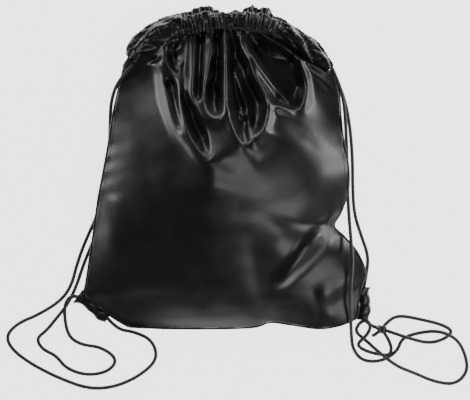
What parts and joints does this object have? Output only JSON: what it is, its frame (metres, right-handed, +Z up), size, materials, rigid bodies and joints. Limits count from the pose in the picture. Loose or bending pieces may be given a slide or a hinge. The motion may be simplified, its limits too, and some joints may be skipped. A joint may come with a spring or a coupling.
{
  "type": "drawstring backpack",
  "caption": "Black coated-cloth drawstring backpack, filled and lying on its back, with a gathered mouth, corner loops and two looped shoulder cords.",
  "frame": {"origin": "centre of the bag's footprint on the floor it lies on, cords left out", "axes": "+Z up from the floor through the back and front panels, +Y from the bottom seam towards the gathered mouth, +X to the right of someone who looks down on the front panel"},
  "size_m": [0.601, 0.4875, 0.09],
  "materials": {
    "coated_cloth": "black coated polyester, semi-gloss, fine plain weave",
    "braided_cord": "black round braid, dull sheen",
    "sewing_thread": "black polyester thread"
  },
  "bodies": {
    "bag": {"back_hem": "coated_cloth", "back_hem_stitching": "sewing_thread", "back_panel": "coated_cloth", "bottom_seam": "coated_cloth", "front_panel": "coated_cloth", "left_cord_back_run": "braided_cord", "left_cord_inner_strand": "braided_cord", "left_cord_loop_run": "braided_cord", "left_cord_outer_strand": "braided_cord", "left_cord_turn": "braided_cord", "left_corner_loop": "coated_cloth", "left_corner_loop_stitching": "sewing_thread", "left_side_seam": "coated_cloth", "left_side_stitching": "sewing_thread", "right_cord_back_run": "braided_cord", "right_cord_bow_loop": "braided_cord", "right_cord_inner_strand": "braided_cord", "right_cord_knot": "braided_cord", "right_cord_loop_run": "braided_cord", "right_cord_outer_strand": "braided_cord", "right_cord_tail": "braided_cord", "right_cord_tied_end": "braided_cord", "right_cord_turn": "braided_cord", "right_corner_loop": "coated_cloth", "right_corner_loop_stitching": "sewing_thread", "right_side_seam": "coated_cloth", "right_side_stitching": "sewing_thread"},
    "mouth_front": {"front_hem": "coated_cloth", "front_mouth_flap": "coated_cloth", "front_hem_stitching": "sewing_thread", "left_front_bartack": "sewing_thread", "right_front_bartack": "sewing_thread", "left_cord_front_run": "braided_cord", "right_cord_front_run": "braided_cord"}
  },
  "joints": [
    {"name": "mouth_opening", "type": "hinge", "parent": "bag", "child": "mouth_front", "pos_m": [0, 0.127, 0.017], "axis": [1, 0, 0], "range_deg": [0, 35]}
  ]
}
